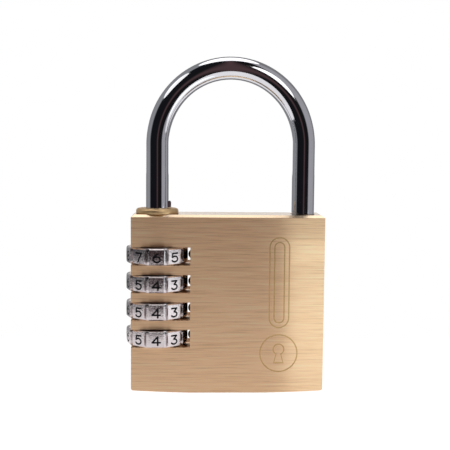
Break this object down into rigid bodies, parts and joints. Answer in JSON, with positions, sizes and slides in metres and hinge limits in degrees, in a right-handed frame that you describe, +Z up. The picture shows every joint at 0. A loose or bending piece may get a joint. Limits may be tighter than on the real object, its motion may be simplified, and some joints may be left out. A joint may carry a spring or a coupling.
{
  "type": "combination padlock",
  "caption": "Brass combination padlock with a chromed U-shaped shackle, number dials on the shackle's long leg, and sprung sleeves and detents inside.",
  "frame": {"origin": "middle of the flat foot of the body block, on the surface that the lock stands on", "axes": "+Z up through the shackle, +X towards the shackle's short leg, front with the code digits towards -Y"},
  "size_m": [0.0515, 0.0158, 0.0872],
  "materials": {
    "brushed_brass": "fine horizontal brushing, satin",
    "polished_brass": "polished, turned",
    "chrome": "bright chrome plate",
    "satin_silver": "satin plated, engraved digits filled with black paint",
    "plain_steel": "turned, matt",
    "spring_steel": "oiled spring wire"
  },
  "bodies": {
    "lock_body": {"body_block": "brushed_brass", "shackle_collar": "polished_brass", "code_change_spring": "spring_steel", "detent_spring_1": "spring_steel", "detent_spring_2": "spring_steel", "detent_spring_3": "spring_steel", "detent_spring_4": "spring_steel"},
    "shackle": {"shackle": "chrome"},
    "seat": {"spring_seat": "plain_steel"},
    "dial_1": {"dial_1": "satin_silver"},
    "dial_2": {"dial_2": "satin_silver"},
    "dial_3": {"dial_3": "satin_silver"},
    "dial_4": {"dial_4": "satin_silver"},
    "clutch_1": {"clutch_sleeve_1": "plain_steel"},
    "clutch_2": {"clutch_sleeve_2": "plain_steel"},
    "clutch_3": {"clutch_sleeve_3": "plain_steel"},
    "clutch_4": {"clutch_sleeve_4": "plain_steel"},
    "detent_1": {"detent_ball_1": "chrome"},
    "detent_2": {"detent_ball_2": "chrome"},
    "detent_3": {"detent_ball_3": "chrome"},
    "detent_4": {"detent_ball_4": "chrome"}
  },
  "joints": [
    {"name": "shackle_lift", "type": "slide", "parent": "lock_body", "child": "shackle", "axis": [0, 0, 1], "range_m": [0, 0.007]},
    {"name": "dial_1_turn", "type": "hinge", "parent": "lock_body", "child": "dial_1", "pos_m": [-0.01845, 0, 0.0357], "axis": [0, 0, 1], "continuous": true},
    {"name": "dial_2_turn", "type": "hinge", "parent": "lock_body", "child": "dial_2", "pos_m": [-0.01845, 0, 0.02855], "axis": [0, 0, 1], "continuous": true},
    {"name": "dial_3_turn", "type": "hinge", "parent": "lock_body", "child": "dial_3", "pos_m": [-0.01845, 0, 0.0214], "axis": [0, 0, 1], "continuous": true},
    {"name": "dial_4_turn", "type": "hinge", "parent": "lock_body", "child": "dial_4", "pos_m": [-0.01845, 0, 0.01425], "axis": [0, 0, 1], "continuous": true},
    {"name": "clutch_1_drop", "type": "slide", "parent": "dial_1", "child": "clutch_1", "axis": [0, 0, -1], "range_m": [0, 0.002], "stiffness_N_per_m": 120, "springref_m": -0.002},
    {"name": "clutch_2_drop", "type": "slide", "parent": "dial_2", "child": "clutch_2", "axis": [0, 0, -1], "range_m": [0, 0.002]},
    {"name": "clutch_3_drop", "type": "slide", "parent": "dial_3", "child": "clutch_3", "axis": [0, 0, -1], "range_m": [0, 0.002]},
    {"name": "clutch_4_drop", "type": "slide", "parent": "dial_4", "child": "clutch_4", "axis": [0, 0, -1], "range_m": [0, 0.002]},
    {"name": "seat_drop", "type": "slide", "parent": "lock_body", "child": "seat", "axis": [0, 0, -1], "range_m": [0, 0.002], "deforming": ["code_change_spring"]},
    {"name": "detent_1_push", "type": "slide", "parent": "lock_body", "child": "detent_1", "axis": [1, 0, 0], "range_m": [0, 0.0007], "stiffness_N_per_m": 60, "springref_m": -0.001, "deforming": ["detent_spring_1"]},
    {"name": "detent_2_push", "type": "slide", "parent": "lock_body", "child": "detent_2", "axis": [1, 0, 0], "range_m": [0, 0.0007], "stiffness_N_per_m": 60, "springref_m": -0.001, "deforming": ["detent_spring_2"]},
    {"name": "detent_3_push", "type": "slide", "parent": "lock_body", "child": "detent_3", "axis": [1, 0, 0], "range_m": [0, 0.0007], "stiffness_N_per_m": 60, "springref_m": -0.001, "deforming": ["detent_spring_3"]},
    {"name": "detent_4_push", "type": "slide", "parent": "lock_body", "child": "detent_4", "axis": [1, 0, 0], "range_m": [0, 0.0007], "stiffness_N_per_m": 60, "springref_m": -0.001, "deforming": ["detent_spring_4"]}
  ],
  "couplings": [
    {"joint": "clutch_2_drop", "follows": "clutch_1_drop", "ratio": 1},
    {"joint": "clutch_3_drop", "follows": "clutch_1_drop", "ratio": 1},
    {"joint": "clutch_4_drop", "follows": "clutch_1_drop", "ratio": 1},
    {"joint": "seat_drop", "follows": "clutch_1_drop", "ratio": 1}
  ]
}
